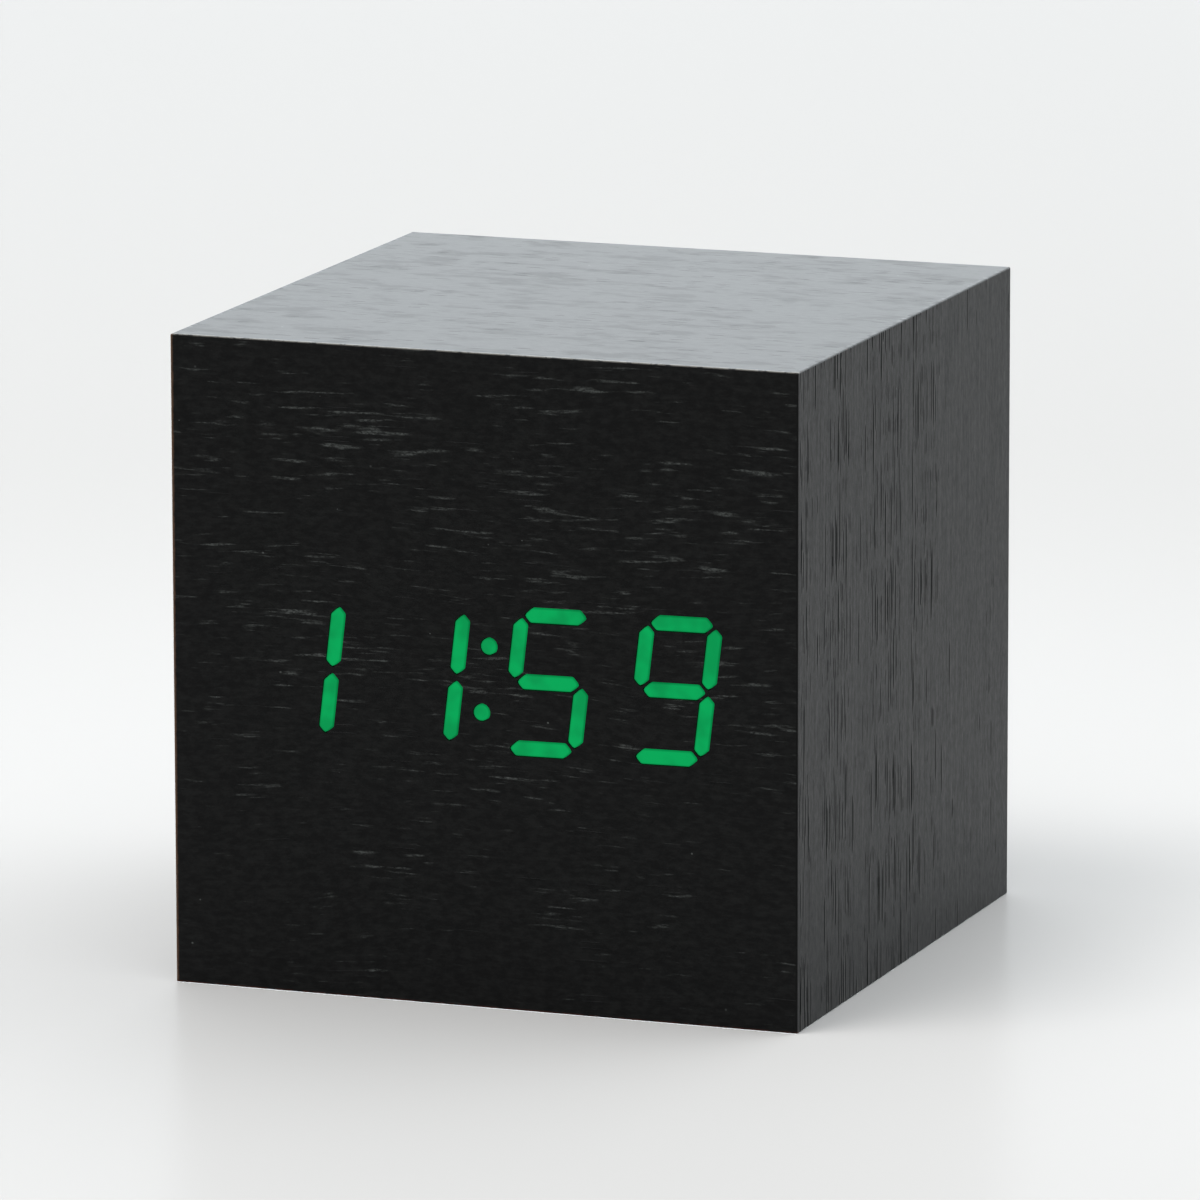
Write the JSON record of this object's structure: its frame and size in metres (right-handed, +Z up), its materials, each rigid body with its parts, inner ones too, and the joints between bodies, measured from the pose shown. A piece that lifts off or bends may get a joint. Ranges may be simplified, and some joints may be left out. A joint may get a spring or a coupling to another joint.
{
  "type": "digital cube clock",
  "caption": "Veneered wooden cube clock with a lit segment display in its face, push buttons and a power socket at the back and a battery door in its base.",
  "frame": {"origin": "middle of the underside that the cube rests on", "axes": "+Z up, the face with the display looks along -Y, +X on the right of a person who reads the time"},
  "size_m": [0.062, 0.062, 0.062],
  "materials": {
    "black_veneer": "open-pored veneer, stained black, satin",
    "fibreboard": "raw, sanded",
    "black_plastic": "fine moulded texture",
    "grey_plastic": "moulded, satin",
    "lit_resin": "cast resin, lit from behind",
    "circuit_green": "solder resist on glass laminate",
    "chip_black": "moulded",
    "socket_white": "moulded",
    "zinc_steel": "zinc plated",
    "cell_sleeve": "printed sleeve without print",
    "red_insulation": "extruded, satin",
    "black_insulation": "extruded, satin",
    "ribbon_grey": "ribbed, satin"
  },
  "bodies": {
    "casing": {"front_board": "fibreboard", "rear_board": "fibreboard", "top_board": "fibreboard", "base_board": "fibreboard", "left_board": "fibreboard", "right_board": "fibreboard", "front_veneer": "black_veneer", "rear_veneer": "black_veneer", "top_veneer": "black_veneer", "base_veneer": "black_veneer", "left_veneer": "black_veneer", "right_veneer": "black_veneer", "segment_reflector": "black_plastic", "light_guide": "lit_resin", "display_circuit_board": "circuit_green", "clock_chip": "chip_black", "display_screw_1": "zinc_steel", "display_screw_2": "zinc_steel", "display_screw_3": "zinc_steel", "display_screw_4": "zinc_steel", "control_panel": "black_plastic", "control_circuit_board": "circuit_green", "set_switch": "chip_black", "up_switch": "chip_black", "down_switch": "chip_black", "power_socket": "black_plastic", "power_socket_pin": "zinc_steel", "microphone": "zinc_steel", "alarm_buzzer": "chip_black", "temperature_sensor": "chip_black", "panel_screw_1": "zinc_steel", "panel_screw_2": "zinc_steel", "control_board_screw_1": "zinc_steel", "control_board_screw_2": "zinc_steel", "ribbon_socket_front": "socket_white", "ribbon_socket_rear": "socket_white", "ribbon_cable": "ribbon_grey", "battery_tray": "black_plastic", "battery_cell_1": "cell_sleeve", "battery_cell_2": "cell_sleeve", "battery_cell_3": "cell_sleeve", "positive_contact": "zinc_steel", "negative_contact": "zinc_steel", "link_contact_right": "zinc_steel", "link_contact_left": "zinc_steel", "positive_lead": "red_insulation", "negative_lead": "black_insulation", "tray_screw_1": "zinc_steel", "tray_screw_2": "zinc_steel"},
    "set_key": {"set_button": "grey_plastic", "set_plunger": "socket_white"},
    "up_key": {"up_button": "grey_plastic", "up_plunger": "socket_white"},
    "down_key": {"down_button": "grey_plastic", "down_plunger": "socket_white"},
    "door": {"battery_door": "black_plastic"}
  },
  "joints": [
    {"name": "set_button_press", "type": "slide", "parent": "casing", "child": "set_key", "axis": [0, -1, 0], "range_m": [0, 0.0005], "stiffness_N_per_m": 300},
    {"name": "up_button_press", "type": "slide", "parent": "casing", "child": "up_key", "axis": [0, -1, 0], "range_m": [0, 0.0005], "stiffness_N_per_m": 300},
    {"name": "down_button_press", "type": "slide", "parent": "casing", "child": "down_key", "axis": [0, -1, 0], "range_m": [0, 0.0005], "stiffness_N_per_m": 300},
    {"name": "battery_door_swing", "type": "hinge", "parent": "casing", "child": "door", "pos_m": [-0.02395, 0, 0.0008], "axis": [0, 1, 0], "range_deg": [0, 60]}
  ]
}
